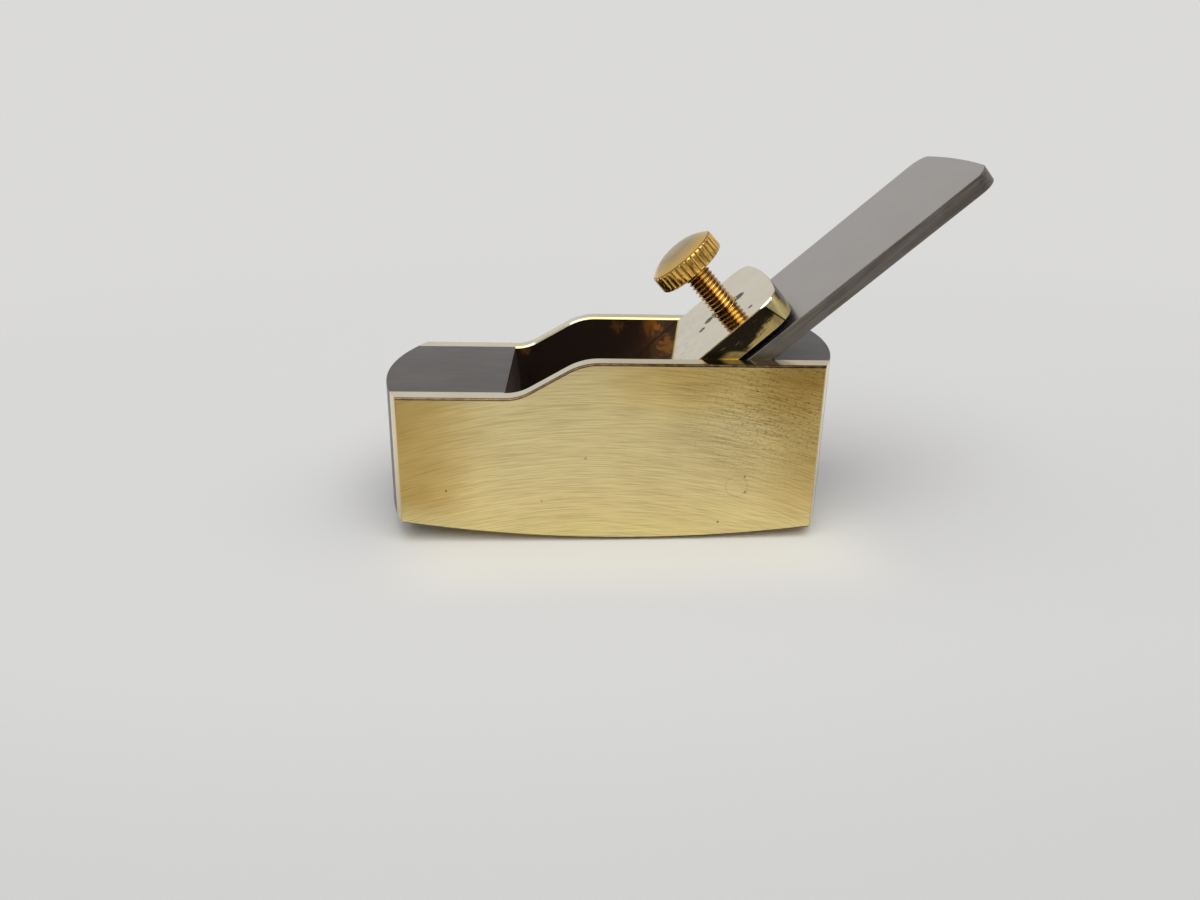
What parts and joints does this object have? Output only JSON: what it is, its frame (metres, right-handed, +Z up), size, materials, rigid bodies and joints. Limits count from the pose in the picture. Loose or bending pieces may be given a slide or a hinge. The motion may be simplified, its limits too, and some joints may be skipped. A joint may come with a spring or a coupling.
{
  "type": "finger plane",
  "caption": "Small hand plane with brass sides on steel blocks, crowned sole, sloping blade, and a pinned brass lever cap tightened by a knurled screw.",
  "frame": {"origin": "lowest point of the crowned sole, on the body's middle plane", "axes": "+X towards the heel and the blade's upper end, +Y towards the far side, +Z up square to the decks"},
  "size_m": [0.0853, 0.032, 0.054],
  "materials": {
    "side_brass": "fine brushed",
    "cap_brass": "mirror polished",
    "screw_brass": "turned and knurled",
    "block_steel": "fine ground",
    "blade_steel": "fine ground"
  },
  "bodies": {
    "body": {"near_side_plate": "side_brass", "far_side_plate": "side_brass", "toe_block": "block_steel", "heel_block": "block_steel", "toe_front_rivet": "side_brass", "toe_rear_rivet": "side_brass", "heel_front_rivet": "side_brass", "heel_rear_rivet": "side_brass", "cap_pivot_pin": "side_brass"},
    "blade": {"blade": "blade_steel"},
    "lever_cap": {"lever_cap": "cap_brass"},
    "screw_stud": {"screw_stud": "screw_brass"},
    "screw_head": {"screw_head": "screw_brass"}
  },
  "joints": [
    {"name": "blade_slide", "type": "slide", "parent": "body", "child": "blade", "axis": [0.7501, 0, 0.6613], "range_m": [-0.0004, 0.03]},
    {"name": "cap_rock", "type": "hinge", "parent": "body", "child": "lever_cap", "pos_m": [-0.00207, 0, 0.0119], "axis": [0, 1, 0], "range_deg": [0, 0.9]},
    {"name": "screw_travel", "type": "slide", "parent": "lever_cap", "child": "screw_stud", "axis": [-0.6717, 0, 0.7408], "range_m": [0, 0.004]},
    {"name": "screw_turn", "type": "hinge", "parent": "screw_stud", "child": "screw_head", "pos_m": [0.01667, 0, 0.03173], "axis": [-0.6717, 0, 0.7408], "range_deg": [0, 2057.14]}
  ],
  "couplings": [
    {"joint": "screw_turn", "follows": "screw_travel", "rad_per_m": 8976},
    {"joint": "cap_rock", "follows": "screw_travel", "rad_per_m": 3.927}
  ]
}
